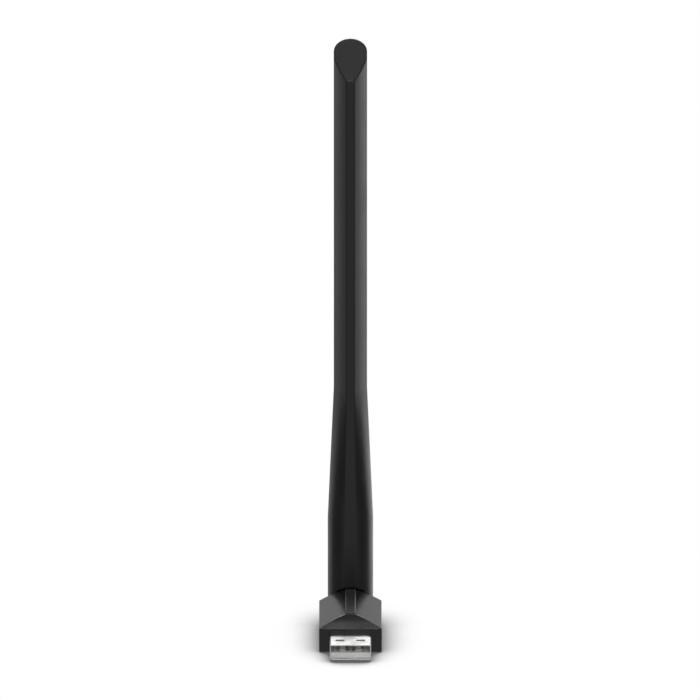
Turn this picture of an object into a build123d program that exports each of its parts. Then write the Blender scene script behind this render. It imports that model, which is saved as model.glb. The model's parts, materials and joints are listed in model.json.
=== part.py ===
from build123d import *
import math
import os

# USB wifi adapter: a short stick with a USB-A plug, and a tall antenna that tilts on a hinge
# behind it. Millimetres. +X is across the stick, -Y points out of the plug, +Z is up.
# The origin is on the resting surface, below the middle of the whole adapter.

# Stick housing
body_width = 18.3
body_length = 33.0
side_height = 7.15
ridge_height = 10.5
ridge_width = 2.9
nose_length = 4.4
nose_bulge = 0.13
roof_crown = 0.25
wall = 1.2
ridge_radius = 0.8
edge_radius = 0.3
corner_radius = 0.5
bottom_chamfer = 0.4

# Bottom cover
cover_thickness = 0.8
cover_play = 0.05
lug_length = 4.0
lug_height = 0.4
lug_reach = 0.35
lug_spacing = 16.0

# USB-A plug; its ears take a share of the room between it and the side walls
plug_width = 12.0
plug_height = 4.5
plug_reach = 11.75
plug_tail = 6.75
plug_lift = 0.1
plug_play = 0.03
shell_thickness = 0.3
shell_corner = 0.6
shell_rim_radius = 0.12
window_width = 2.5
window_length = 2.0
window_spacing = 6.0
window_setback = 4.4
ear_share = 0.6
ear_length = 2.0
ear_setback = 3.0
tongue_thickness = 1.84
tongue_setback = 0.25
tongue_chamfer = 0.35
socket_depth = 9.5
contact_width = 1.0
contact_thickness = 0.2
contact_proud = 0.06
contact_tail = 1.8
outer_contact_x = 3.5
outer_contact_setback = 1.1
inner_contact_x = 1.0
inner_contact_setback = 2.1

# Main board and what is soldered to it, each size given across, along and up
board_thickness = 1.0
board_play = 0.35
notch_play = 0.3
post_width = 1.0
post_length = 1.6
front_post_inset = 8.4
rear_post_inset = 2.0
can_size = (12.0, 9.6, 1.9)
can_wall = 0.2
can_inset = 10.2
chip_size = (7.0, 7.0, 0.9)
regulator_size = (2.9, 1.6, 1.1)
crystal_size = (2.5, 2.0, 0.6)
inductor_size = (2.5, 2.0, 1.2)
capacitor_size = (1.0, 0.5, 0.5)
resistor_size = (0.5, 1.0, 0.35)
small_part_pitch = 1.3
power_part_x = 4.4
led_size = (0.8, 1.6, 0.6)
led_inset = 0.35
led_from_rear = 5.9
lens_length = 1.6
lens_height = 0.9
lens_flange = 0.35
flange_thickness = 0.3

# Small coaxial connector
socket_from_rear = 9.6
socket_base = 2.6
socket_base_height = 0.35
ring_radius = 1.0
ring_height = 0.9
coax_plug_radius = 1.35
coax_plug_height = 1.1
crimp_length = 1.6
crimp_width = 1.3

# Coaxial lead
coax_diameter = 0.81
coax_hole_play = 0.3
core_diameter = 0.3
core_length = 2.0
exit_run = 1.2
rise_margin = 0.6
exit_bend = 1.6
rise_bend = 4.0
hinge_bend = 1.3
cheek_bend = 1.2
join_run = 0.6
cheek_run = 4.6
slant_run = 12.0
mast_bend = 20.0

# Hinge
hinge_gap = 0.45
tube_diameter = 5.0
tube_bore = 3.6
tube_half_length = 5.6
tube_window = 1.6
hinge_play = 0.05
tongue_half_width = 3.4
washer_thickness = 0.5
washer_play = 0.05
washer_margin = 0.14
slot_play = 0.3

# Antenna: each section is its width, depth, flat front strip, depth of the side facets,
# length of the straight sides behind them, and how far the facets bulge
antenna_length = 174.05
floor_gap = 0.15
base_depth = 12.6
base_section = (13.3, base_depth, 3.3, 5.6, 1.6, 1.3)
mast_depth = 10.8
mast_section = (9.75, mast_depth, 2.3, 5.6, 2.0, 0.25)
taper_start = 30.7
taper_end = 69.9
tip_slope = 45.0
tip_edge_radius = 0.35
strip_edge_radius = 0.5
side_edge_radius = 1.5
antenna_wall = 1.2
cavity_floor = 1.6
channel_width = 1.2
lip_height = 0.6
lip_play = 0.05
seam_width = 0.16
seam_depth = 0.14
foot_edge_radius = 1.0
rib_thickness = 1.0
rib_inset = 2.0
rib_count = 4

# Antenna strip with its printed radiators
strip_half_width = 2.9
strip_thickness = 0.8
strip_setback = 0.6
strip_tip_gap = 8.3
strip_end = 10.8
strip_tail = 8.0
foil_thickness = 0.1
feed_x = 1.8
leg_width = 1.4
leg_length = 24.0
bar_height = 2.0
feed_gap = 1.0
radiator_width = 2.0
radiator_length = 22.0
upper_radiator_length = 28.0
meander_turns = 3
meander_pitch = 3.6
meander_line = 0.6
solder_size = (1.4, 1.6)

# Places worked out from the sizes above
margin = 2.0
near = 0.01
total_depth = plug_reach + body_length + hinge_gap + base_depth
plug_front = -total_depth / 2
front = plug_front + plug_reach
rear = front + body_length
antenna_front = rear + hinge_gap
hinge_y = antenna_front + base_depth / 2
hinge_z = floor_gap + base_depth / 2
antenna_top = floor_gap + antenna_length
half_width = body_width / 2
ridge_half = ridge_width / 2
inner_half = half_width - wall
inner_front = front + wall
inner_rear = rear - wall
roof_slope = (ridge_height - side_height) / (half_width - ridge_half)
nose_slope = (ridge_height - side_height) / nose_length
plug_bottom = cover_thickness + plug_lift
shell_floor = plug_bottom + shell_thickness
shell_rear = front + plug_tail
tongue_top = shell_floor + tongue_thickness
tongue_front = plug_front + tongue_setback
board_top = tongue_top + contact_proud - contact_thickness
board_bottom = board_top - board_thickness
board_half = inner_half - board_play
ear_end = plug_width / 2 + (inner_half - plug_width / 2) * ear_share
front_post_y = inner_front + front_post_inset
rear_post_y = inner_rear - rear_post_inset
led_y = rear - led_from_rear
lens_z = board_top + led_size[2] / 2
socket_y = rear - socket_from_rear
crimp_end = socket_y + coax_plug_radius + crimp_length
lead_z = board_top + socket_base_height + coax_plug_height / 2
coax_radius = coax_diameter / 2
barrel_radius = ridge_height - hinge_z
tube_radius = tube_diameter / 2
washer_end = tongue_half_width + washer_thickness
slot_half = washer_end + washer_play
slot_radius = barrel_radius + slot_play
bore_end = tube_half_length + hinge_play
cheek_lead_x = (slot_half + bore_end) / 2
join_x = cheek_lead_x - cheek_bend - join_run
cavity_bottom = hinge_z + slot_radius + cavity_floor
base_half = base_section[0] / 2
strip_front = hinge_y + strip_setback
strip_rear = strip_front + strip_thickness
foil_front = strip_front - foil_thickness
tip_rise = math.tan(math.radians(tip_slope))
mast_back = antenna_front + mast_depth
cavity_ceiling = antenna_top - antenna_wall * math.hypot(1, tip_rise) - (mast_back - strip_front) * tip_rise
strip_top = cavity_ceiling - strip_tip_gap
meander_length = meander_turns * meander_pitch
upper_radiator_bottom = strip_top - strip_end - upper_radiator_length
radiator_top = upper_radiator_bottom + meander_line - meander_length
pad_bottom = radiator_top - radiator_length
feed_height = pad_bottom - feed_gap
bar_top = feed_height - feed_gap
strip_bottom = bar_top - leg_length - strip_tail

os.makedirs("parts", exist_ok=True)
nodes = {}


def block(x0, x1, y0, y1, z0, z1):
    # A box between two corners.
    middle = Pos((x0 + x1) / 2, (y0 + y1) / 2, (z0 + z1) / 2)
    return middle * Box(x1 - x0, y1 - y0, z1 - z0)


def standing(x, y, z, size):
    # A box of the given size standing on height z, centred on x and y.
    return Pos(x, y, z + size[2] / 2) * Box(*size)


def both_sides(shape):
    # The shape and its mirror image across the middle of the stick.
    return shape + mirror(shape, about=Plane.YZ)


def prism_along_y(points, y0, y1):
    # A prism whose outline is given in X and Z.
    outline = make_face(Polyline(*points, close=True))
    return extrude(Plane.XZ.offset(-y1) * outline, amount=y1 - y0)


def prism_along_x(points, x0, x1):
    # A prism whose outline is given in Y and Z.
    outline = make_face(Polyline(*points, close=True))
    return extrude(Plane.YZ.offset(x0) * outline, amount=x1 - x0)


def rod_along_x(radius, x0, x1, y=hinge_y, z=hinge_z):
    # A cylinder along X, on the hinge axis unless a place is given.
    return Pos((x0 + x1) / 2, y, z) * Rot(0, 90, 0) * Cylinder(radius, x1 - x0)


def rod_along_y(radius, y0, y1, x, z):
    # A cylinder along Y.
    return Pos(x, (y0 + y1) / 2, z) * Rot(90, 0, 0) * Cylinder(radius, y1 - y0)


def rod_along_z(radius, z0, z1, x, y):
    # A cylinder along Z.
    return Pos(x, y, (z0 + z1) / 2) * Cylinder(radius, z1 - z0)


# Stick housing

def roof_prism(inset, y0, y1):
    # Upright sides, two sloping roof halves and a narrow flat ridge, all drawn in by inset.
    half = half_width - inset
    eave = side_height + inset * roof_slope - inset * math.hypot(1, roof_slope)
    top = ridge_height - inset
    crest = half - (top - eave) / roof_slope
    right = [(half, -margin), (half, eave), (crest, top)]
    left = [(-x, z) for x, z in reversed(right)]
    return prism_along_y(right + left, y0, y1)


def crowned_roof(y0, y1):
    # The outer roof: the same prism with its two sloping halves slightly rounded.
    slant = math.hypot(1, roof_slope)
    middle_x = (half_width + ridge_half) / 2 + roof_crown * roof_slope / slant
    middle_z = (side_height + ridge_height) / 2 + roof_crown / slant
    eave, crest = (half_width, side_height), (ridge_half, ridge_height)
    slope = ThreePointArc(eave, (middle_x, middle_z), crest)
    right = [Line((0, -margin), (half_width, -margin)), Line((half_width, -margin), eave),
             slope, Line(crest, (0, ridge_height))]
    half_outline = Curve() + right
    outline = make_face(half_outline.edges() + mirror(half_outline, about=Plane.YZ).edges())
    return extrude(Plane.XZ.offset(-y1) * outline, amount=y1 - y0)


def nose_cut(inset):
    # What the sloping, slightly rounded nose takes off above the plug.
    slant = math.hypot(1, nose_slope)
    start = side_height - inset * slant
    low = (front - margin, start - margin * nose_slope)
    foot = (front, start)
    middle = (front + nose_length / 2 - nose_bulge * nose_slope / slant,
              start + nose_length / 2 * nose_slope + nose_bulge / slant)
    brow = (front + nose_length, start + nose_length * nose_slope)
    high = (front + nose_length + margin, brow[1] + margin * nose_slope)
    above = Polyline(brow, high, (low[0], high[1]), low, foot)
    outline = make_face(ThreePointArc(foot, middle, brow) + above)
    return extrude(Plane.YZ.offset(-body_width) * outline, amount=2 * body_width)


def stick_outside():
    # The stick without its hinge tongue: soft ridge, corners and upper edges, a chamfer below.
    below = block(-body_width, body_width, front - margin, rear + margin, -2 * margin, 0)
    solid = crowned_roof(front, rear) - nose_cut(0) - below
    ridges = [e for e in solid.edges().filter_by(Axis.Y) if e.center().Z > ridge_height - near]
    solid = fillet(ridges, ridge_radius)
    corners = [e for e in solid.edges().filter_by(Axis.Z) if e.center().Y < front + near]
    solid = fillet(corners, corner_radius)
    ahead = [e for e in solid.edges() if e.center().Y < rear - near]
    along_ridge = [e for e in ahead if abs((e % 0.5).Y) > 1 - near and e.center().Z > side_height + near]
    upper = [e for e in ahead if e.center().Z > side_height - near and e not in along_ridge]
    solid = fillet(upper, edge_radius)
    lower = [e for e in solid.edges() if e.center().Z < near and e.center().Y < rear - near]
    return chamfer(lower, bottom_chamfer)


def hinge_arm(half, radius, reach):
    # The tongue's section turned about the hinge axis, and carried forward from it by reach.
    # Its flat top and sloping shoulders go on from the roof.
    crest = ridge_half + (radius - barrel_radius) * math.tan(math.atan(roof_slope) / 2)
    shoulder = radius - (half - crest) * roof_slope
    upper = [(half, shoulder), (crest, radius), (-crest, radius), (-half, shoulder)]
    lower = [(x, -z) for x, z in reversed(upper)]
    turned = Plane.XZ * make_face(Polyline((-half, 0), (half, 0), *upper, close=True))
    barrel = Pos(0, hinge_y, hinge_z) * revolve(turned, axis=Axis.X)
    outline = [(x, z + hinge_z) for x, z in upper + lower]
    return barrel + prism_along_y(outline, hinge_y - reach, hinge_y)


def plug_block(inset, y0, y1):
    # The plug's rounded rectangular section, drawn in by inset.
    outline = RectangleRounded(plug_width - 2 * inset, plug_height - 2 * inset, shell_corner - inset)
    middle = Pos(0, plug_bottom + plug_height / 2)
    return extrude(Plane.XZ.offset(-y1) * middle * outline, amount=y1 - y0)


def lens_block(grow, x0, x1):
    # The light pipe's section, grown all round.
    y_half = lens_length / 2 + grow
    z_half = lens_height / 2 + grow
    return block(x0, x1, led_y - y_half, led_y + y_half, lens_z - z_half, lens_z + z_half)


def cover_lugs(grow):
    # Four snap lugs on the cover's long edges, or with grow their pockets in the walls.
    shapes = Part()
    low = (cover_thickness - lug_height) / 2 - grow
    high = (cover_thickness + lug_height) / 2 + grow
    for y in ((front + rear - lug_spacing) / 2, (front + rear + lug_spacing) / 2):
        y_half = lug_length / 2 + grow
        tip_x = inner_half + lug_reach + grow
        shapes += both_sides(block(inner_half - 2 * cover_play, tip_x, y - y_half, y + y_half, low, high))
    return shapes


def coax_in_stick():
    # The lead from the board's connector, up to the hinge's height, back and into the tube.
    turn_y = crimp_end + exit_run
    rise_y = inner_rear - rise_margin
    points = [(0, crimp_end, lead_z), (0, turn_y, lead_z), (0, rise_y, hinge_z)]
    points += [(0, hinge_y, hinge_z), (join_x, hinge_y, hinge_z)]
    route = FilletPolyline(*points, radius=[exit_bend, rise_bend, hinge_bend])
    start = Plane(origin=points[0], z_dir=(0, 1, 0))
    return sweep(start * Circle(coax_radius), path=route)


outside = stick_outside()
cavity = roof_prism(wall, inner_front, inner_rear) - nose_cut(wall)
plug_passage = plug_block(-plug_play, front - margin, inner_front + margin)
notch_half = plug_width / 2 + plug_play
plug_notch = block(-notch_half, notch_half, front - margin, inner_front + margin,
                   -margin, plug_bottom + plug_height / 2)
post = block(board_half - post_width, board_half, -post_length / 2, post_length / 2,
             board_top, ridge_height)
posts = both_sides(Pos(0, front_post_y, 0) * post + Pos(0, rear_post_y, 0) * post)
housing = outside - cavity
housing += posts & roof_prism(wall / 2, inner_front, inner_rear)
housing += hinge_arm(tongue_half_width, barrel_radius, hinge_y - rear + wall / 2)
housing -= plug_passage + plug_notch
housing -= cover_lugs(cover_play)
housing -= lens_block(0, -half_width - margin, -inner_half + margin)
housing -= rod_along_x(tube_radius, -tongue_half_width - margin, tongue_half_width + margin)
housing -= rod_along_y(coax_radius + coax_hole_play, inner_rear - margin, hinge_y, 0, hinge_z)
nodes["upper_housing"] = housing

plate_half = inner_half - cover_play
cover = block(-plate_half, plate_half, inner_front + cover_play, inner_rear - cover_play, 0, cover_thickness)
lip_half = notch_half - cover_play
cover += block(-lip_half, lip_half, front, inner_front + wall, 0, plug_bottom + shell_corner)
for rib_y in (front_post_y, rear_post_y):
    cover += block(-board_half, board_half, rib_y - post_length / 2, rib_y + post_length / 2,
                   cover_thickness, board_bottom)
cover -= plug_block(-plug_play, front - margin, inner_front + 2 * wall)
cover = (cover & outside) + cover_lugs(0)
nodes["bottom_cover"] = cover

nodes["light_pipe"] = lens_block(0, -half_width, -inner_half) + lens_block(
    lens_flange, -inner_half, -inner_half + flange_thickness)

# USB-A plug

shell = plug_block(0, plug_front, shell_rear)
shell -= plug_block(shell_thickness, plug_front - margin, shell_rear + margin)
window_y = plug_front + window_setback
windows = block((window_spacing - window_width) / 2, (window_spacing + window_width) / 2,
                window_y, window_y + window_length, 0, plug_bottom + plug_height + margin)
shell -= both_sides(windows)
ear_y = front + ear_setback
ear = block(plug_width / 2 - shell_thickness / 2, ear_end, ear_y, ear_y + ear_length,
            board_top, board_top + shell_thickness)
rim = [e for e in shell.edges() if e.center().Y < plug_front + near]
shell = fillet(rim, shell_rim_radius)
nodes["plug_shell"] = shell + both_sides(ear)

contacts = {}
for number, x in enumerate((-outer_contact_x, -inner_contact_x, inner_contact_x, outer_contact_x), 1):
    setback = outer_contact_setback if abs(x) == outer_contact_x else inner_contact_setback
    contacts[f"plug_contact_{number}"] = block(
        x - contact_width / 2, x + contact_width / 2, plug_front + setback,
        shell_rear + contact_tail, board_top, board_top + contact_thickness)

insulator = plug_block(shell_thickness, tongue_front, shell_rear)
insulator -= block(-plug_width, plug_width, plug_front - margin, plug_front + socket_depth,
                   tongue_top, plug_bottom + plug_height + margin)
foot_bevel = [
    (tongue_front - margin, shell_floor - margin),
    (tongue_front - margin, shell_floor + tongue_chamfer),
    (tongue_front, shell_floor + tongue_chamfer),
    (tongue_front + tongue_chamfer, shell_floor),
    (tongue_front + tongue_chamfer, shell_floor - margin),
]
insulator -= prism_along_x(foot_bevel, -plug_width, plug_width)
for contact in contacts.values():
    insulator -= contact
nodes["plug_insulator"] = insulator
nodes.update(contacts)

# Main board

notch_rear = shell_rear + notch_play
board = block(-board_half, board_half, inner_front + board_play, inner_rear - board_play,
              board_bottom, board_top)
board_notch = plug_width / 2 + notch_play
board -= block(-board_notch, board_notch, front, notch_rear, board_bottom - margin, board_top + margin)
nodes["main_board"] = board

can_y = inner_front + can_inset + can_size[1] / 2
can = standing(0, can_y, board_top, can_size)
can_room = (can_size[0] - 2 * can_wall, can_size[1] - 2 * can_wall, can_size[2] - can_wall)
nodes["shield_can"] = can - standing(0, can_y, board_top, can_room)
nodes["wifi_chip"] = standing(0, can_y, board_top, chip_size)

front_row_y = (shell_rear + contact_tail + inner_front + can_inset) / 2
rear_row_y = (can_y + can_size[1] / 2 + socket_y - socket_base / 2) / 2 + capacitor_size[1] / 2
nodes["regulator"] = standing(power_part_x, front_row_y, board_top, regulator_size)
nodes["crystal"] = standing(-power_part_x, front_row_y, board_top, crystal_size)
nodes["inductor"] = standing(power_part_x, socket_y + inductor_size[1], board_top, inductor_size)
capacitors = Part()
resistors = Part()
for step in range(3):
    side_x = socket_base / 2 + small_part_pitch * (step + 0.5)
    capacitors += both_sides(standing(side_x, rear_row_y, board_top, capacitor_size))
    resistors += standing(small_part_pitch * (step - 1), front_row_y, board_top, resistor_size)
nodes["capacitors"] = capacitors
nodes["resistors"] = resistors
led_x = -(board_half - led_inset - led_size[0] / 2)
nodes["status_led"] = standing(led_x, led_y, board_top, led_size)

ring_bottom = board_top + socket_base_height
ring = rod_along_z(ring_radius, ring_bottom, ring_bottom + ring_height, 0, socket_y)
socket_foot = standing(0, socket_y, board_top, (socket_base, socket_base, socket_base_height))
nodes["coax_socket"] = socket_foot + ring
cap = rod_along_z(coax_plug_radius, ring_bottom, ring_bottom + coax_plug_height, 0, socket_y)
crimp = block(-crimp_width / 2, crimp_width / 2, socket_y + ring_radius, crimp_end,
              ring_bottom, ring_bottom + coax_plug_height)
nodes["coax_plug"] = cap + crimp - ring
nodes["coax_lead_stick"] = coax_in_stick()

# Hinge

tube = rod_along_x(tube_radius, -tube_half_length, tube_half_length)
tube -= rod_along_x(tube_bore / 2, -tube_half_length - margin, tube_half_length + margin)
tube -= block(-tube_window / 2, tube_window / 2, hinge_y - tube_diameter, hinge_y,
              hinge_z - tube_window / 2, hinge_z + tube_window / 2)
lead_room = coax_radius + coax_hole_play
tube -= block(slot_half, tube_half_length + margin, hinge_y - lead_room, hinge_y + tube_diameter,
              hinge_z - lead_room, hinge_z + tube_diameter)
nodes["hinge_tube"] = tube

tongue_crest = barrel_radius - (tongue_half_width - ridge_half) * roof_slope
washer = rod_along_x(tongue_crest - washer_margin, tongue_half_width, washer_end)
washer -= rod_along_x(tube_radius + hinge_play, tongue_half_width - margin, washer_end + margin)
nodes["friction_washer_right"] = washer
nodes["friction_washer_left"] = mirror(washer, about=Plane.YZ)

# Antenna

def antenna_outline(section, inset, z):
    # Seen from above: a narrow flat strip in front, two slightly bulging facets, short straight
    # sides and a rounded back, all drawn in by inset.
    width, depth, strip_width, facet_depth, side_length, bulge = section
    facet_angle = math.atan2(facet_depth, (width - strip_width) / 2)
    half = width / 2 - inset
    strip_half = strip_width / 2 - inset * math.tan(facet_angle / 2)
    facet_end = facet_depth + inset * math.tan((math.pi / 2 - facet_angle) / 2)
    side_end = facet_depth + side_length
    bulge_x = (strip_half + half) / 2 + bulge * math.sin(facet_angle)
    bulge_y = (inset + facet_end) / 2 - bulge * math.cos(facet_angle)
    facet = ThreePointArc((strip_half, inset), (bulge_x, bulge_y), (half, facet_end))
    side = Line((half, facet_end), (half, side_end))
    back = EllipticalCenterArc((0, side_end), half, depth - inset - side_end, 0, arc_size=90)
    right = Curve() + [facet, side, back]
    left = mirror(right, about=Plane.YZ)
    strip = Line((-strip_half, inset), (strip_half, inset))
    return Pos(0, antenna_front, z) * make_face(Curve() + [strip] + right.edges() + left.edges())


def soft_outline(section, z):
    # The outer outline with the front strip's edges and the facets' rear edges rounded.
    outline = antenna_outline(section, 0, z)
    outline = fillet(outline.vertices().group_by(Axis.Y)[0], strip_edge_radius)
    facet_end = antenna_front + section[3]
    corners = [v for v in outline.vertices() if abs(v.Y - facet_end) < near]
    return fillet(corners, side_edge_radius)


def above_tip(inset):
    # What the slanting cut takes off the antenna's top, lowered by inset.
    back_z = antenna_top - inset * math.hypot(1, tip_rise)
    low = (antenna_front - margin, back_z - (mast_depth + margin) * tip_rise)
    high = (mast_back + margin, back_z + margin * tip_rise)
    return prism_along_x([low, high, (low[0], high[1])], -half_width, half_width)


def antenna_column(inset):
    # Straight base, straight-sided taper and straight mast under the slanting cut.
    def outline(section, z):
        return antenna_outline(section, inset, z) if inset else soft_outline(section, z)

    base = extrude(outline(base_section, 0), amount=taper_start)
    taper = loft([outline(base_section, taper_start), outline(mast_section, taper_end)], ruled=True)
    mast = extrude(outline(mast_section, taper_end), amount=antenna_top - taper_end)
    return base + taper + mast - above_tip(inset)


def beyond_round_foot():
    # What lies outside the antenna's foot, which is round about the hinge axis with soft rims.
    below = block(-base_depth, base_depth, antenna_front - margin, antenna_front + base_depth + margin,
                  -margin, hinge_z)
    foot = rod_along_x(base_depth / 2, -base_half, base_half)
    return below - fillet(foot.edges().filter_by(GeomType.CIRCLE), foot_edge_radius)


def fork_slot():
    # Room for the stick's tongue: in front while the antenna stands, below once it lies back,
    # and all the way between.
    arm = hinge_arm(slot_half, slot_radius, base_depth)
    about_hinge = Pos(0, hinge_y, hinge_z) * Rot(90, 0, 0) * Pos(0, -hinge_y, -hinge_z)
    quarter = block(-slot_half, slot_half, antenna_front - margin, hinge_y, -margin, hinge_z)
    return arm + about_hinge * arm + quarter


def coax_in_antenna():
    # The lead from the hinge tube, up through one cheek and along the strip to the feed.
    points = [(join_x, hinge_y, hinge_z), (cheek_lead_x, hinge_y, hinge_z)]
    slant_z = cavity_bottom + cheek_run
    points += [(cheek_lead_x, hinge_y, slant_z), (feed_x, hinge_y, slant_z + slant_run)]
    points += [(feed_x, hinge_y, feed_height)]
    route = FilletPolyline(*points, radius=[cheek_bend, mast_bend, mast_bend])
    start = Plane(origin=points[0], z_dir=(1, 0, 0))
    jacket = sweep(start * Circle(coax_radius), path=route)
    core = rod_along_z(core_diameter / 2, feed_height, feed_height + core_length, feed_x, hinge_y)
    return jacket + core


column = antenna_column(0)
tip_edges = column.edges().group_by(lambda e: round(e.center().Z - e.center().Y * tip_rise, 2))[-1]
column = fillet(tip_edges, tip_edge_radius)
hollow = antenna_column(antenna_wall) & block(
    -half_width, half_width, antenna_front, antenna_front + base_depth, cavity_bottom, antenna_top)
seam = column - antenna_column(seam_depth)
upright_seam = block(-half_width, half_width, hinge_y - seam_width / 2, hinge_y + seam_width / 2,
                     cavity_bottom, cavity_ceiling)
level_seam = block(-half_width, half_width, hinge_y - seam_width / 2, mast_back + margin,
                   cavity_ceiling - seam_width / 2, cavity_ceiling + seam_width / 2)
seam &= upright_seam + level_seam
case = column - beyond_round_foot() - hollow - fork_slot() - seam
case -= both_sides(rod_along_x(tube_radius + hinge_play, slot_half - margin, bore_end))
channel_half = channel_width / 2
case -= block(cheek_lead_x - channel_half, cheek_lead_x + channel_half,
              hinge_y - channel_half, hinge_y + channel_half, hinge_z, cavity_bottom + margin)

# The rear shell ends below the slanted tip, all of which belongs to the front shell.
rear_room = block(-half_width, half_width, hinge_y, antenna_front + base_depth + margin,
                  -margin, cavity_ceiling)
within_wall = antenna_column(antenna_wall / 2)
front_shell = case - rear_room
rear_shell = case & rear_room
lip_zone = block(-half_width, half_width, hinge_y - lip_height, hinge_y, cavity_bottom, cavity_ceiling)
front_shell -= (within_wall - hollow) & lip_zone
rear_shell += (antenna_column(antenna_wall / 2 + lip_play) - hollow) & lip_zone
first_rib = strip_bottom + rib_inset
rib_step = (strip_top - rib_inset - rib_thickness - first_rib) / (rib_count - 1)
for index in range(rib_count):
    low = first_rib + index * rib_step
    rear_rib = block(-strip_half_width, strip_half_width, strip_rear, antenna_front + base_depth,
                     low, low + rib_thickness)
    rear_shell += rear_rib & within_wall
    if index in (0, rib_count - 1):
        front_rib = block(-strip_half_width, 0, antenna_front, strip_front, low, low + rib_thickness)
        front_shell += front_rib & within_wall
nodes["antenna_front_shell"] = front_shell
nodes["antenna_rear_shell"] = rear_shell

nodes["antenna_strip"] = block(-strip_half_width, strip_half_width, strip_front, strip_rear,
                               strip_bottom, strip_top)


def foil(x0, x1, z0, z1):
    # A printed copper area on the strip's front.
    return block(x0, x1, foil_front, strip_front, z0, z1)


leg = foil(feed_x - leg_width / 2, feed_x + leg_width / 2, bar_top - leg_length, bar_top)
nodes["sleeve_foil"] = both_sides(leg) + foil(-feed_x, feed_x, bar_top - bar_height, bar_top)

radiator = foil(-radiator_width / 2, feed_x + leg_width / 2, pad_bottom, pad_bottom + bar_height)
radiator += foil(-radiator_width / 2, radiator_width / 2, pad_bottom, pad_bottom + radiator_length)
side_x = strip_half_width - meander_line
for turn in range(meander_turns):
    z = radiator_top + turn * meander_pitch
    half_pitch = meander_pitch / 2
    radiator += foil(-side_x, side_x, z - meander_line, z)
    radiator += foil(side_x - meander_line, side_x, z - meander_line, z + half_pitch)
    radiator += foil(-side_x, side_x, z + half_pitch - meander_line, z + half_pitch)
    radiator += foil(-side_x, meander_line - side_x, z + half_pitch - meander_line, z + meander_pitch)
radiator += foil(-side_x, radiator_width / 2, upper_radiator_bottom, upper_radiator_bottom + meander_line)
radiator += foil(-radiator_width / 2, radiator_width / 2, upper_radiator_bottom, strip_top - strip_end)
nodes["radiator_foil"] = radiator

lead = coax_in_antenna()
nodes["coax_lead_antenna"] = lead
solder_half = solder_size[0] / 2
solder_front = hinge_y - coax_radius - foil_thickness
solder = Part()
for solder_top in (bar_top, feed_height + core_length):
    solder += block(feed_x - solder_half, feed_x + solder_half, solder_front, foil_front,
                    solder_top - solder_size[1], solder_top + foil_thickness)
nodes["solder_joints"] = solder - lead

for name, shape in nodes.items():
    export_step(shape, f"parts/{name}.step")
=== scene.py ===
import json
import math
import bpy
import numpy as np
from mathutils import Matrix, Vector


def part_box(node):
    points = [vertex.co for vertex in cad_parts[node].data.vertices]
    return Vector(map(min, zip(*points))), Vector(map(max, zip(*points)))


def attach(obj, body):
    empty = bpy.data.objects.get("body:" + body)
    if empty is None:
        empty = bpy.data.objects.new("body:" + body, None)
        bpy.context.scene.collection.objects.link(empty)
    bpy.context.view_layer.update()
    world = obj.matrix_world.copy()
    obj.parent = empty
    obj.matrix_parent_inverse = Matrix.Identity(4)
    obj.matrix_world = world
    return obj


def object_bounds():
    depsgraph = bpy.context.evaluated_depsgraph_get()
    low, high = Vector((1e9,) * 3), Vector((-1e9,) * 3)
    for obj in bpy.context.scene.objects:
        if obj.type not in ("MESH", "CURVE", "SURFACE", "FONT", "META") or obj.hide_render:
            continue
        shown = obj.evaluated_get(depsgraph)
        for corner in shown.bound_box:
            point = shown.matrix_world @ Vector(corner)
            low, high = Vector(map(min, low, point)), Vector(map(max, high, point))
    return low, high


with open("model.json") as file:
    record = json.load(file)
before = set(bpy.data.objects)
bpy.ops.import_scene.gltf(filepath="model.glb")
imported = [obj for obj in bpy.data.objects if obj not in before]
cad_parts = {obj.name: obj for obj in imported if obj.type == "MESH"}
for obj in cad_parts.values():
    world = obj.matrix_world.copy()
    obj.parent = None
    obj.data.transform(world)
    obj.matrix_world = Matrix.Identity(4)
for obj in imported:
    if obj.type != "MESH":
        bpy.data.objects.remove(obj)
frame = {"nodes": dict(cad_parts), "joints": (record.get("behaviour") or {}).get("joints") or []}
nodes = frame["nodes"]
cadLow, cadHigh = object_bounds()
print("frame loaded, CAD nodes:", len(nodes))

scene = bpy.context.scene
mm = 0.001
nodeStep = (180, 120)  # spacing of nodes in the editor, across and down


def newNode(tree, kind, values=None, **settings):
    # one shader node, its settings, and the values of its unlinked inputs by name or number
    node = tree.nodes.new("ShaderNode" + kind)
    node.location = (nodeStep[0] * len(tree.nodes), -nodeStep[1] * (len(tree.nodes) % 4))
    for key, value in settings.items():
        setattr(node, key, value)
    for key, value in (values or {}).items():
        node.inputs[key].default_value = value
    return node


def wire(tree, source, target):
    # joins an output to an input
    tree.links.new(source, target)


def mathNode(tree, operation, first, second=None, clamp=False):
    # arithmetic on two sockets or plain numbers
    node = newNode(tree, "Math", operation=operation, use_clamp=clamp)
    for slot, item in enumerate((first, second)):
        if item is None:
            continue
        if isinstance(item, (int, float)):
            node.inputs[slot].default_value = item
        else:
            wire(tree, item, node.inputs[slot])
    return node.outputs[0]


def remap(tree, source, low, high, toLow=0.0, toHigh=1.0, smooth=True):
    # carries a value from one range to another
    node = newNode(tree, "MapRange", {"From Min": low, "From Max": high, "To Min": toLow, "To Max": toHigh})
    node.interpolation_type = "SMOOTHSTEP" if smooth else "LINEAR"
    wire(tree, source, node.inputs["Value"])
    return node.outputs["Result"]


def blendColour(tree, mask, first, second):
    # two colours, each a socket or plain RGB, blended by a mask; a Mix node has its colours at these sockets
    node = newNode(tree, "Mix", data_type="RGBA")
    wire(tree, mask, node.inputs[0])
    for slot, item in ((6, first), (7, second)):
        if isinstance(item, tuple):
            node.inputs[slot].default_value = (*item, 1)
        else:
            wire(tree, item, node.inputs[slot])
    return node.outputs[2]


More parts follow.
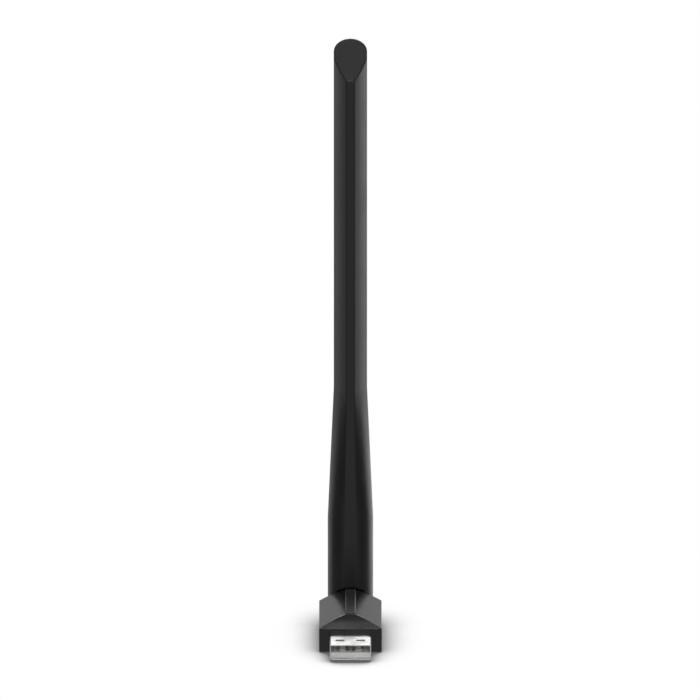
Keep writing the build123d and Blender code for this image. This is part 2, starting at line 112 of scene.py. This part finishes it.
def newGroup(name, inputs, outputs):
    # an empty shader node group with named inputs (type and starting value) and outputs
    group = bpy.data.node_groups.new(name, "ShaderNodeTree")
    for label, kind, start in inputs:
        socket = group.interface.new_socket(label, in_out="INPUT", socket_type="NodeSocket" + kind)
        socket.default_value = start
    for label, kind in outputs:
        group.interface.new_socket(label, in_out="OUTPUT", socket_type="NodeSocket" + kind)
    return group, group.nodes.new("NodeGroupInput"), group.nodes.new("NodeGroupOutput")


def useGroup(tree, group, **values):
    # places a group in a material with its own values
    node = tree.nodes.new("ShaderNodeGroup")
    node.location = (nodeStep[0] * len(tree.nodes), 2 * nodeStep[1])
    node.node_tree = group
    for key, value in values.items():
        node.inputs[key].default_value = value
    return node


def noiseOn(tree, vector, scale, detail=3.0, roughness=0.55, distortion=0.0):
    # 3-D noise on a vector; the scale is a number or a socket
    node = newNode(tree, "TexNoise", {"Detail": detail, "Roughness": roughness, "Distortion": distortion})
    wire(tree, vector, node.inputs["Vector"])
    if isinstance(scale, (int, float)):
        node.inputs["Scale"].default_value = scale
    else:
        wire(tree, scale, node.inputs["Scale"])
    return node.outputs["Fac"]


grainShape = {
    "smoothness": 0.6,  # of the pebbles' borders
    "pebbleScale": 0.45,  # share of the fine noise's scale
    "blotchRange": (0.32, 0.68),
}


def buildGrain():
    # moulded texture: fine noise and soft pebbles as a height, and slow blotches for tone and gloss
    group, entry, leave = newGroup(
        "mouldGrain",
        [("Scale", "Float", 4000.0), ("Pebble", "Float", 0.4), ("Blotch Scale", "Float", 90.0)],
        [("Height", "Float"), ("Blotch", "Float")])
    place = newNode(group, "TexCoord").outputs["Object"]
    fine = noiseOn(group, place, entry.outputs["Scale"], 2.0, 0.6)
    pebble = newNode(group, "TexVoronoi", {"Smoothness": grainShape["smoothness"]}, feature="SMOOTH_F1")
    wire(group, place, pebble.inputs["Vector"])
    pebbleScale = mathNode(group, "MULTIPLY", entry.outputs["Scale"], grainShape["pebbleScale"])
    wire(group, pebbleScale, pebble.inputs["Scale"])
    pebbles = mathNode(group, "MULTIPLY", pebble.outputs["Distance"], entry.outputs["Pebble"])
    wire(group, mathNode(group, "SUBTRACT", fine, pebbles), leave.inputs["Height"])
    slow = noiseOn(group, place, entry.outputs["Blotch Scale"], 4.0, 0.6, 0.4)
    wire(group, remap(group, slow, *grainShape["blotchRange"]), leave.inputs["Blotch"])
    return group


wearShape = {
    "samples": 6,
    "turnRange": (0.004, 0.16),  # how far the rounded normal leans where wear starts, and where it is full
    "breakupRange": (0.42, 0.62),
}


def buildEdgeWear():
    # a rounded normal along edges, and a broken-up mask where an edge turns sharply
    group, entry, leave = newGroup(
        "edgeWear",
        [("Radius", "Float", 0.0002), ("Breakup", "Float", 700.0)],
        [("Mask", "Float"), ("Normal", "Vector")])
    rounded = newNode(group, "Bevel", samples=wearShape["samples"])
    wire(group, entry.outputs["Radius"], rounded.inputs["Radius"])
    facing = newNode(group, "NewGeometry")
    along = newNode(group, "VectorMath", operation="DOT_PRODUCT")
    wire(group, rounded.outputs["Normal"], along.inputs[0])
    wire(group, facing.outputs["Normal"], along.inputs[1])
    turn = mathNode(group, "SUBTRACT", 1.0, along.outputs["Value"])
    sharp = remap(group, turn, *wearShape["turnRange"])
    place = newNode(group, "TexCoord").outputs["Object"]
    patches = noiseOn(group, place, entry.outputs["Breakup"], 5.0, 0.65)
    breakup = remap(group, patches, *wearShape["breakupRange"])
    wire(group, mathNode(group, "MULTIPLY", sharp, breakup), leave.inputs["Mask"])
    wire(group, rounded.outputs["Normal"], leave.inputs["Normal"])
    return group


handlingShape = {
    "upwardRange": (0.25, 0.95),  # how far a face looks up where dust starts to lie, and where it lies full
    "speckRange": (0.62, 0.74),
    "filmScale": 0.06,  # share of the specks' scale
    "filmRange": (0.4, 0.75, 0.1, 0.5),
    "smearRange": (0.45, 0.72),
}


def buildHandling():
    # dust that settles on faces that look up, and smears where fingers have been
    group, entry, leave = newGroup(
        "dustAndTouch",
        [("Dust Scale", "Float", 2600.0), ("Smear Scale", "Float", 140.0)],
        [("Dust", "Float"), ("Smear", "Float")])
    place = newNode(group, "TexCoord").outputs["Object"]
    normal = newNode(group, "SeparateXYZ")
    wire(group, newNode(group, "NewGeometry").outputs["Normal"], normal.inputs[0])
    upward = remap(group, normal.outputs["Z"], *handlingShape["upwardRange"])
    speckNoise = noiseOn(group, place, entry.outputs["Dust Scale"], 2.0, 0.5)
    specks = remap(group, speckNoise, *handlingShape["speckRange"])
    filmScale = mathNode(group, "MULTIPLY", entry.outputs["Dust Scale"], handlingShape["filmScale"])
    film = remap(group, noiseOn(group, place, filmScale, 4.0, 0.6), *handlingShape["filmRange"])
    dust = mathNode(group, "MULTIPLY", upward, mathNode(group, "MAXIMUM", specks, film))
    wire(group, dust, leave.inputs["Dust"])
    smear = noiseOn(group, place, entry.outputs["Smear Scale"], 5.0, 0.6, 1.6)
    wire(group, remap(group, smear, *handlingShape["smearRange"]), leave.inputs["Smear"])
    return group


hairlineShape = {
    "turns": ((0.2, 0.5, 0.35), (-0.6, 0.15, -0.9)),  # the two directions, as rotations in radians
    "stretch": (1.0, 26.0, 9.0),
    "crestRange": (0.735, 0.77),
}


def buildScratches():
    # hairlines: noise stretched along two crossing directions, kept only at its crests
    group, entry, leave = newGroup(
        "hairlines", [("Scale", "Float", 260.0)], [("Mask", "Float")])
    place = newNode(group, "TexCoord").outputs["Object"]
    lines = []
    for turn in hairlineShape["turns"]:
        mapping = newNode(group, "Mapping", {"Rotation": turn, "Scale": hairlineShape["stretch"]})
        wire(group, place, mapping.inputs["Vector"])
        streak = noiseOn(group, mapping.outputs["Vector"], entry.outputs["Scale"], 1.0, 0.4)
        lines.append(remap(group, streak, *hairlineShape["crestRange"]))
    wire(group, mathNode(group, "MAXIMUM", *lines), leave.inputs["Mask"])
    return group


rolledShape = {
    "streakScale": 6.0,  # times the group's scale
    "toneScale": 0.3,
    "toneRange": (0.35, 0.68),
}


def buildRolled():
    # rolled metal: streaks drawn out along one direction, with a slower change of tone
    group, entry, leave = newGroup(
        "rolledMetal",
        [("Scale", "Float", 900.0), ("Stretch", "Vector", (1.0, 0.03, 1.0))],
        [("Height", "Float"), ("Tone", "Float")])
    place = newNode(group, "TexCoord").outputs["Object"]
    drawn = newNode(group, "VectorMath", operation="MULTIPLY")
    wire(group, place, drawn.inputs[0])
    wire(group, entry.outputs["Stretch"], drawn.inputs[1])
    streakScale = mathNode(group, "MULTIPLY", entry.outputs["Scale"], rolledShape["streakScale"])
    wire(group, noiseOn(group, drawn.outputs["Vector"], streakScale, 3.0, 0.6), leave.inputs["Height"])
    toneScale = mathNode(group, "MULTIPLY", entry.outputs["Scale"], rolledShape["toneScale"])
    tone = noiseOn(group, place, toneScale, 4.0, 0.6, 0.6)
    wire(group, remap(group, tone, *rolledShape["toneRange"]), leave.inputs["Tone"])
    return group


mouldGrain = buildGrain()
edgeWear = buildEdgeWear()
dustAndTouch = buildHandling()
hairlines = buildScratches()
rolledMetal = buildRolled()
print("shared node groups built:", len(bpy.data.node_groups))


def newMaterial(name, shaderValues):
    # a material whose constant values sit on the shader's own sockets
    material = bpy.data.materials.new(name)
    material.use_nodes = True
    tree = material.node_tree
    shader = tree.nodes["Principled BSDF"]
    for key, value in shaderValues.items():
        shader.inputs[key].default_value = value
    return material, tree, shader


def surfaceBump(tree, shader, height, strength, depth, normal=None):
    # a height over the surface, laid on the rounded normal where one is given
    bump = newNode(tree, "Bump", {"Strength": strength, "Distance": depth})
    wire(tree, height, bump.inputs["Height"])
    if normal is not None:
        wire(tree, normal, bump.inputs["Normal"])
    wire(tree, bump.outputs["Normal"], shader.inputs["Normal"])


def mouldedPlastic(name, look):
    # moulded plastic: grain, blotches of tone and gloss, hairlines, smears, dust and rubbed edges
    material, tree, shader = newMaterial(name, look["shader"])
    grain = useGroup(tree, mouldGrain, **look["grain"])
    wear = useGroup(tree, edgeWear, **look["wear"])
    touch = useGroup(tree, dustAndTouch)
    lines = useGroup(tree, hairlines, Scale=look["scratchScale"])
    tone = blendColour(tree, grain.outputs["Blotch"], look["dark"], look["light"])
    rubbed = blendColour(tree, mathNode(tree, "MULTIPLY", wear.outputs["Mask"], look["rubbing"]),
                         tone, look["rubbed"])
    dusty = blendColour(tree, mathNode(tree, "MULTIPLY", touch.outputs["Dust"], look["dust"]),
                        rubbed, look["dustColour"])
    wire(tree, dusty, shader.inputs["Base Color"])
    smooth, rough = look["gloss"]
    gloss = remap(tree, grain.outputs["Blotch"], 0, 1, smooth, rough)
    gloss = mathNode(tree, "ADD", gloss, mathNode(tree, "MULTIPLY", touch.outputs["Smear"], look["smear"]))
    gloss = mathNode(tree, "ADD", gloss, mathNode(tree, "MULTIPLY", lines.outputs["Mask"], look["scratch"]))
    gloss = mathNode(tree, "ADD", gloss,
                     mathNode(tree, "MULTIPLY", touch.outputs["Dust"], look["dust"]), clamp=True)
    wire(tree, gloss, shader.inputs["Roughness"])
    height = mathNode(tree, "SUBTRACT", grain.outputs["Height"],
                      mathNode(tree, "MULTIPLY", lines.outputs["Mask"], look["scratch"]))
    surfaceBump(tree, shader, height, look["bump"], look["bumpDepth"], wear.outputs["Normal"])
    return material


def platedMetal(name, look):
    # plated or rolled metal: drawn streaks, change of tone, hairlines and bright edges
    material, tree, shader = newMaterial(name, look["shader"])
    rolled = useGroup(tree, rolledMetal, **look["rolled"])
    wear = useGroup(tree, edgeWear, **look["wear"])
    touch = useGroup(tree, dustAndTouch)
    lines = useGroup(tree, hairlines, Scale=look["scratchScale"])
    tone = blendColour(tree, rolled.outputs["Tone"], look["dark"], look["light"])
    edged = blendColour(tree, wear.outputs["Mask"], tone, look["rubbed"])
    wire(tree, edged, shader.inputs["Base Color"])
    smooth, rough = look["gloss"]
    gloss = remap(tree, rolled.outputs["Tone"], 0, 1, smooth, rough)
    gloss = mathNode(tree, "ADD", gloss, mathNode(tree, "MULTIPLY", touch.outputs["Smear"], look["smear"]))
    gloss = mathNode(tree, "ADD", gloss,
                     mathNode(tree, "MULTIPLY", lines.outputs["Mask"], look["scratch"]), clamp=True)
    wire(tree, gloss, shader.inputs["Roughness"])
    height = mathNode(tree, "SUBTRACT", rolled.outputs["Height"], lines.outputs["Mask"])
    surfaceBump(tree, shader, height, look["bump"], look["bumpDepth"], wear.outputs["Normal"])
    return material


blackPlastic = {
    "shader": {"Specular IOR Level": 0.5, "IOR": 1.5},
    "grain": {"Scale": 5200.0, "Pebble": 0.35, "Blotch Scale": 60.0},
    "wear": {"Radius": 0.00014, "Breakup": 620.0},
    "dark": (0.006, 0.006, 0.0064), "light": (0.0085, 0.0085, 0.009),
    "rubbed": (0.045, 0.045, 0.047), "rubbing": 0.35,
    "dust": 0.02, "dustColour": (0.32, 0.31, 0.29),
    "gloss": (0.25, 0.31), "smear": 0.04, "scratch": 0.1, "scratchScale": 210.0,
    "bump": 0.5, "bumpDepth": 0.000003,
}

finishes = {
    "housing_black": mouldedPlastic("housingBlack", {
        **blackPlastic, "gloss": (0.2, 0.25), "wear": {"Radius": 0.00035, "Breakup": 620.0},
        "dark": (0.004, 0.004, 0.0043), "light": (0.006, 0.006, 0.0063), "bumpDepth": 0.0000008}),
    "ridge_black": mouldedPlastic("ridgeMatt", {
        **blackPlastic, "gloss": (0.4, 0.46), "wear": {"Radius": 0.00006, "Breakup": 900.0},
        "dark": (0.018, 0.018, 0.0185), "light": (0.024, 0.024, 0.0245), "bumpDepth": 0.000002}),
    "cover_black": mouldedPlastic("coverBlack", {
        **blackPlastic, "gloss": (0.42, 0.5), "bump": 0.8,
        "grain": {"Scale": 3800.0, "Pebble": 0.7, "Blotch Scale": 75.0}}),
    "antenna_black": mouldedPlastic("antennaBlack", {
        **blackPlastic, "gloss": (0.3, 0.37), "dust": 0.012,
        "wear": {"Radius": 0.0004, "Breakup": 420.0}, "rubbing": 0.12,
        "grain": {"Scale": 4200.0, "Pebble": 0.5, "Blotch Scale": 45.0}}),
    "insulator_plastic": mouldedPlastic("insulatorWhite", {
        **blackPlastic, "dark": (0.74, 0.74, 0.72), "light": (0.84, 0.84, 0.82),
        "rubbed": (0.9, 0.9, 0.88), "gloss": (0.38, 0.48), "dust": 0.05, "dustColour": (0.3, 0.29, 0.27)}),
    "washer_nylon": mouldedPlastic("washerNylon", {
        **blackPlastic, "dark": (0.03, 0.03, 0.031), "light": (0.045, 0.045, 0.046), "gloss": (0.4, 0.5)}),
    "chip_black": mouldedPlastic("chipEpoxy", {
        **blackPlastic, "dark": (0.012, 0.012, 0.013), "light": (0.022, 0.022, 0.023),
        "gloss": (0.45, 0.6), "grain": {"Scale": 9000.0, "Pebble": 0.6, "Blotch Scale": 400.0}}),
    "ferrite": mouldedPlastic("ferriteGrey", {
        **blackPlastic, "dark": (0.035, 0.034, 0.034), "light": (0.07, 0.068, 0.066), "gloss": (0.5, 0.65)}),
    "capacitor_tan": mouldedPlastic("capacitorCeramic", {
        **blackPlastic, "dark": (0.3, 0.19, 0.1), "light": (0.4, 0.27, 0.15),
        "rubbed": (0.6, 0.58, 0.55), "rubbing": 0.8, "gloss": (0.35, 0.5)}),
    "resistor_dark": mouldedPlastic("resistorFilm", {
        **blackPlastic, "dark": (0.01, 0.01, 0.012), "light": (0.02, 0.02, 0.024),
        "rubbed": (0.6, 0.6, 0.6), "rubbing": 0.9}),
    "led_cream": mouldedPlastic("ledResin", {
        **blackPlastic, "dark": (0.7, 0.62, 0.36), "light": (0.8, 0.74, 0.5),
        "rubbed": (0.9, 0.88, 0.8), "gloss": (0.15, 0.25)}),
    "coax_jacket": mouldedPlastic("leadJacket", {
        **blackPlastic, "dark": (0.016, 0.016, 0.018), "light": (0.03, 0.03, 0.032), "gloss": (0.35, 0.45),
        "grain": {"Scale": 2500.0, "Pebble": 0.2, "Blotch Scale": 200.0}}),
    "board_fr4": mouldedPlastic("boardMask", {
        **blackPlastic, "dark": (0.004, 0.035, 0.02), "light": (0.008, 0.07, 0.036),
        "rubbed": (0.3, 0.26, 0.14), "rubbing": 0.8, "gloss": (0.25, 0.4)}),
    "strip_fr4": mouldedPlastic("stripBoard", {
        **blackPlastic, "dark": (0.35, 0.3, 0.15), "light": (0.45, 0.4, 0.22),
        "rubbed": (0.6, 0.55, 0.4), "gloss": (0.35, 0.5)}),
}

nickel = {
    "shader": {"Metallic": 1.0},
    "rolled": {"Scale": 900.0, "Stretch": (1.0, 0.03, 1.0)},
    "wear": {"Radius": 0.00012, "Breakup": 900.0},
    "dark": (0.72, 0.72, 0.71), "light": (0.84, 0.84, 0.83), "rubbed": (0.95, 0.95, 0.94),
    "gloss": (0.42, 0.48), "smear": 0.05, "scratch": 0.1, "scratchScale": 300.0,
    "bump": 0.3, "bumpDepth": 0.0000004,
}

finishes.update({
    "plug_nickel": platedMetal("plugNickel", nickel),
    "tinned_steel": platedMetal("tinnedSteel", {
        **nickel, "dark": (0.58, 0.58, 0.57), "light": (0.7, 0.7, 0.69), "gloss": (0.3, 0.42)}),
    "contact_plating": platedMetal("contactPlating", {
        **nickel, "dark": (0.42, 0.42, 0.4), "light": (0.52, 0.52, 0.5), "gloss": (0.24, 0.32)}),
    "connector_brass": platedMetal("connectorBrass", {
        **nickel, "dark": (0.72, 0.56, 0.28), "light": (0.82, 0.66, 0.36), "rubbed": (0.92, 0.8, 0.52)}),
    "hinge_steel": platedMetal("hingeSteel", {
        **nickel, "dark": (0.42, 0.42, 0.43), "light": (0.55, 0.55, 0.55), "gloss": (0.28, 0.4),
        "rolled": {"Scale": 900.0, "Stretch": (0.03, 1.0, 1.0)}}),
    "copper": platedMetal("printedCopper", {
        **nickel, "dark": (0.72, 0.34, 0.2), "light": (0.84, 0.46, 0.3), "rubbed": (0.9, 0.6, 0.45),
        "gloss": (0.3, 0.45)}),
    "solder": platedMetal("solderTin", {
        **nickel, "dark": (0.6, 0.6, 0.62), "light": (0.75, 0.75, 0.76), "gloss": (0.18, 0.35)}),
})
finishes["clear_plastic"] = mouldedPlastic("lightPipeClear", {
    **blackPlastic, "shader": {"Transmission Weight": 0.85, "IOR": 1.49},
    "dark": (0.8, 0.82, 0.84), "light": (0.88, 0.9, 0.91), "rubbed": (0.95, 0.95, 0.95),
    "gloss": (0.08, 0.16)})

for node in nodes.values():
    slotName = node.material_slots[0].material.name
    node.material_slots[0].material = finishes[slotName]
print("materials given to CAD nodes:", len(finishes))


def gridMesh(name, sheets):
    # one mesh from several grids of points, each (rows, columns, 3); corners shared by grids are merged
    points, faces, start = [], [], 0
    for sheet in sheets:
        rows, columns = sheet.shape[:2]
        index = start + np.arange(rows * columns).reshape(rows, columns)
        quads = np.stack([index[:-1, :-1], index[:-1, 1:], index[1:, 1:], index[1:, :-1]], axis=-1)
        points.append(sheet.reshape(-1, 3))
        faces.append(quads.reshape(-1, 4))
        start += rows * columns
    points, faces = np.concatenate(points), np.concatenate(faces)
    _, first, same = np.unique(np.round(points, 9), axis=0, return_index=True, return_inverse=True)
    mesh = bpy.data.meshes.new(name)
    mesh.from_pydata(points[first].tolist(), [], same.reshape(-1)[faces].tolist())
    mesh.validate()
    mesh.shade_smooth()
    return mesh


def newPiece(mesh, body, slotName, finish=None):
    # an object for a finished mesh, riding on its CAD body
    piece = bpy.data.objects.new(mesh.name, mesh)
    scene.collection.objects.link(piece)
    mesh.materials.append(finishes[finish or slotName])
    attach(piece, body)
    return piece


ridgeTrim = {
    "halfWidth": 1.52 * mm,
    "frontInset": 4.9 * mm,
    "rearGap": 0.62 * mm,
    "sunk": 0.12 * mm,
    "proud": 0.05 * mm,
    "riseHeight": 0.2 * mm,
    "riseLength": 7.0 * mm,
    "beadHeight": 0.16 * mm,
    "beadWidth": 0.16 * mm,
    "beadInset": 0.24 * mm,
    "sidePower": 14,  # the higher a power, the squarer that edge
    "endPower": 180,
    "rows": 240,
    "columns": 97,
}


def makeRidgeTrim():
    # a long low strip on the ridge, u across and v along from -1 to 1: its thickness is (1 - |u|^sidePower)
    # and (1 - |v|^endPower), each to the half power, multiplied; it stands on a parabola that rises over
    # the first few millimetres, with a bell-shaped bead inside both long edges and the front one, and a
    # flat underside closes it
    look = ridgeTrim
    low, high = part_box("upper_housing")
    front = low.y + look["frontInset"]
    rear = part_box("antenna_front_shell")[0].y - look["rearGap"]
    across = np.sin(np.linspace(-1, 1, look["columns"]) * math.pi / 2)
    along = np.sin(np.linspace(-1, 1, look["rows"]) * math.pi / 2)
    u, v = np.meshgrid(across, along)
    roundedSides = np.sqrt(np.clip(1 - np.abs(u) ** look["sidePower"], 0, 1))
    roundedEnds = np.sqrt(np.clip(1 - np.abs(v) ** look["endPower"], 0, 1))
    x = u * look["halfWidth"]
    y = (front + rear) / 2 + v * (rear - front) / 2
    fromEdge = np.minimum(look["halfWidth"] - np.abs(x), y - front)
    bead = look["beadHeight"] * np.exp(-((fromEdge - look["beadInset"]) / look["beadWidth"]) ** 2)
    towardsFront = np.clip(1 - (y - front) / look["riseLength"], 0, 1)
    rise = look["riseHeight"] * (1 - towardsFront ** 2)
    under = np.full_like(x, high.z - look["sunk"])
    top = under + (look["sunk"] + look["proud"] + rise + bead) * roundedSides * roundedEnds
    sheets = [np.stack([x, y, top], axis=-1), np.stack([x, y, under], axis=-1)[:, ::-1]]
    newPiece(gridMesh("ridge_trim", sheets), "stick", "housing_black", "ridge_black")


makeRidgeTrim()
print("ridge trim made")


studio = {
    "floorSize": 16.0,
    "floorDrop": 0.02 * mm,
    # brightness of the floor in the adapter's own reflections: everywhere, and what is added in front
    # of it and at the back right and left
    "floorGlow": 0.18,
    "frontGlow": 0.32,
    "rightGlow": 1.25,
    "leftGlow": 0.5,
    # where those parts begin and are full, as parts of a unit vector from the antenna
    "frontRange": (-0.7, -0.98),
    "rearRange": (0.0, 0.42),
    "sideRange": (-0.3, 0.3),
    # the contact shadow painted into the floor's glow: how far it reaches, and how open sky turns into
    # brightness
    "shadowReach": 19.0 * mm,
    "shadowRange": (0.42, 0.9, 0.12, 1.0),
    "shadowSamples": 16,
    "base": 0.2,
    # soft panels all round: direction, half-width in degrees, strength
    "panels": [
        ((1.0, 0.5, 0.05), 46, 1.2),
        ((-1.0, 0.3, 0.1), 50, 0.4),
        ((0.0, 1.0, 0.15), 40, 0.3),
        ((0.0, 0.72, 0.69), 21, 9.0),
        ((0.0, -1.0, 0.3), 60, 0.35),
        ((0.0, -0.62, 0.78), 11, 8.0),
        ((0.0, -0.122, 0.9925), 9.5, 2.0),
    ],
}


white = (1, 1, 1, 1)


def makeFloor():
    # one large plain square just under the resting face; to the camera it glows white, with a contact shadow
    # painted into that glow from how much open sky each point sees
    half = studio["floorSize"] / 2
    z = cadLow.z - studio["floorDrop"]
    corners = [(-half, -half, z), (half, -half, z), (half, half, z), (-half, half, z)]
    mesh = bpy.data.meshes.new("floor")
    mesh.from_pydata(corners, [], [(0, 1, 2, 3)])
    floor = bpy.data.objects.new("floor", mesh)
    scene.collection.objects.link(floor)
    material = bpy.data.materials.new("floorPaper")
    material.use_nodes = True
    tree = material.node_tree
    tree.nodes.remove(tree.nodes["Principled BSDF"])
    # painted contact shadow: the camera's floor glow is dimmed where nearby parts block the open sky
    nearness = newNode(tree, "AmbientOcclusion", {"Distance": studio["shadowReach"]},
                       samples=studio["shadowSamples"])
    shadow = remap(tree, nearness.outputs["AO"], *studio["shadowRange"], smooth=False)
    paintedShadowGlow = newNode(tree, "Emission", {"Color": white})
    wire(tree, shadow, paintedShadowGlow.inputs["Strength"])
    # what the adapter itself sees of the floor: dim, brighter in front and most at the back right
    middle = (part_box("antenna_front_shell")[0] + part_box("antenna_rear_shell")[1]) / 2
    away = newNode(tree, "VectorMath", {1: (middle.x, middle.y, z)}, operation="SUBTRACT")
    wire(tree, newNode(tree, "TexCoord").outputs["Object"], away.inputs[0])
    heading = newNode(tree, "VectorMath", operation="NORMALIZE")
    wire(tree, away.outputs["Vector"], heading.inputs[0])
    along = newNode(tree, "SeparateXYZ")
    wire(tree, heading.outputs["Vector"], along.inputs[0])
    behind = remap(tree, along.outputs["Y"], *studio["rearRange"])
    ahead = remap(tree, along.outputs["Y"], *studio["frontRange"], 0.0, studio["frontGlow"])
    sides = remap(tree, along.outputs["X"], *studio["sideRange"], studio["leftGlow"], studio["rightGlow"])
    glow = mathNode(tree, "ADD", ahead, mathNode(tree, "MULTIPLY", behind, sides))
    plain = newNode(tree, "Emission", {"Color": white})
    wire(tree, mathNode(tree, "ADD", glow, studio["floorGlow"]), plain.inputs["Strength"])
    choice = tree.nodes.new("ShaderNodeMixShader")
    wire(tree, newNode(tree, "LightPath").outputs["Is Camera Ray"], choice.inputs[0])
    wire(tree, plain.outputs[0], choice.inputs[1])
    wire(tree, paintedShadowGlow.outputs[0], choice.inputs[2])
    wire(tree, choice.outputs[0], tree.nodes["Material Output"].inputs["Surface"])
    mesh.materials.append(material)


def makeLight():
    # a studio drawn in the world: a dim room with wide soft panels round the object
    world = bpy.data.worlds.new("studio")
    scene.world = world
    world.use_nodes = True
    tree = world.node_tree
    direction = newNode(tree, "TexCoord").outputs["Generated"]
    total = None
    for towards, spread, strength in studio["panels"]:
        unit = np.array(towards) / np.linalg.norm(towards)
        along = newNode(tree, "VectorMath", {1: tuple(unit)}, operation="DOT_PRODUCT")
        wire(tree, direction, along.inputs[0])
        glow = remap(tree, along.outputs["Value"], math.cos(math.radians(spread)), 1.0, 0.0, strength)
        total = glow if total is None else mathNode(tree, "ADD", total, glow)
    total = mathNode(tree, "ADD", total, studio["base"])
    # what the camera sees past the floor's edge is plain white
    seen = newNode(tree, "LightPath").outputs["Is Camera Ray"]
    hidden = mathNode(tree, "SUBTRACT", 1.0, seen)
    background = tree.nodes["Background"]
    strength = mathNode(tree, "ADD", mathNode(tree, "MULTIPLY", total, hidden), seen)
    wire(tree, strength, background.inputs["Strength"])
    background.inputs["Color"].default_value = white


cameraLook = {
    "elevation": 14.0,  # degrees
    "distance": 8.0,
    "frameWidth": 204.7 * mm,
    "aimX": -0.13 * mm,
    "aimZ": 81.1 * mm,
    "sensorWidth": 36.0,  # millimetres, as Blender takes it
    "clipEnd": 50.0,
}


def makeCamera():
    # a long lens that looks a little down at the front of the adapter, level with its hinge in depth
    hingeY = frame["joints"][0]["pos_m"][1]
    aim = np.array([cameraLook["aimX"], hingeY, cameraLook["aimZ"]])
    tilt = math.radians(cameraLook["elevation"])
    back = np.array([0.0, -math.cos(tilt), math.sin(tilt)])
    camera = bpy.data.objects.new("camera", bpy.data.cameras.new("camera"))
    scene.collection.objects.link(camera)
    camera.data.sensor_width = cameraLook["sensorWidth"]
    camera.data.lens = cameraLook["sensorWidth"] * cameraLook["distance"] / cameraLook["frameWidth"]
    camera.data.clip_end = cameraLook["clipEnd"]
    camera.location = aim + back * cameraLook["distance"]
    camera.rotation_euler = (math.pi / 2 - tilt, 0.0, 0.0)
    scene.camera = camera


makeFloor()
makeLight()
makeCamera()
scene.view_settings.view_transform = "Standard"
print("floor, light and camera set")
